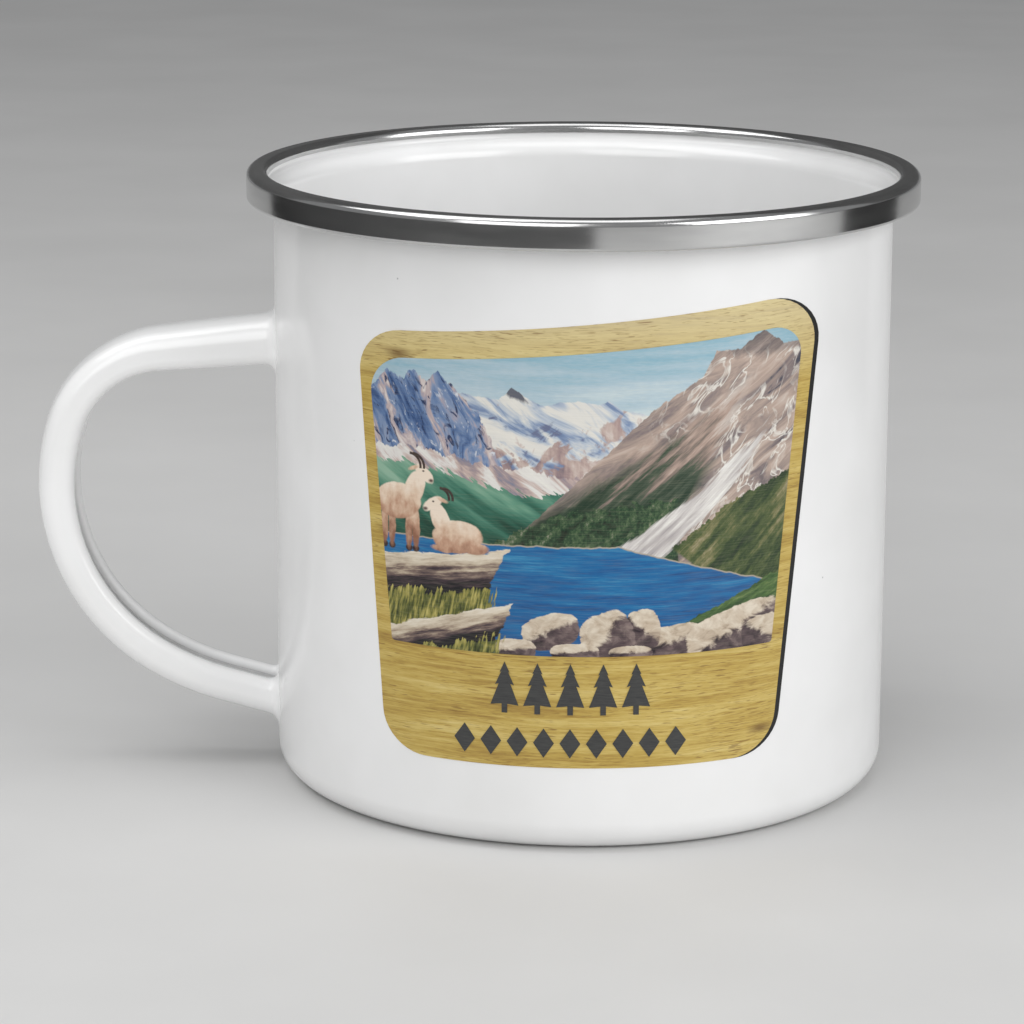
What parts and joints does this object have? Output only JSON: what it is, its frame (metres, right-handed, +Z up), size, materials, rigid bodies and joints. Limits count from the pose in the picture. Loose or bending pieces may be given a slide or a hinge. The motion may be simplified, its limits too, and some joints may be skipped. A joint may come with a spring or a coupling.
{
  "type": "enamelled steel camping mug",
  "caption": "White enamelled steel camping mug: straight cup, rolled channel handle, crimped stainless rim band and a printed landscape badge.",
  "frame": {"origin": "centre of the flat base, on the surface that the mug stands on", "axes": "+Z up along the cup's axis and out of the mouth, -X towards the handle, -Y out of the printed front"},
  "size_m": [0.1164, 0.088, 0.081],
  "materials": {
    "enamel_white": "gloss",
    "enamel_ground": "gloss",
    "sheet_steel": "satin",
    "stainless": "polished",
    "print_wood": "satin",
    "print_picture": "satin",
    "print_black": "satin",
    "print_charcoal": "satin"
  },
  "bodies": {
    "root": {"cup_steel": "sheet_steel", "cup_ground_coat_inside": "enamel_ground", "cup_ground_coat_outside": "enamel_ground", "cup_cover_coat_inside": "enamel_white", "cup_cover_coat_outside": "enamel_white", "rim_band": "stainless", "handle_steel": "sheet_steel", "handle_ground_coat": "enamel_ground", "handle_cover_coat": "enamel_white", "handle_weld_upper": "sheet_steel", "handle_weld_lower": "sheet_steel", "badge_board": "print_wood", "badge_edge": "print_black", "badge_picture": "print_picture", "badge_firs": "print_charcoal", "badge_border": "print_charcoal"}
  },
  "joints": []
}
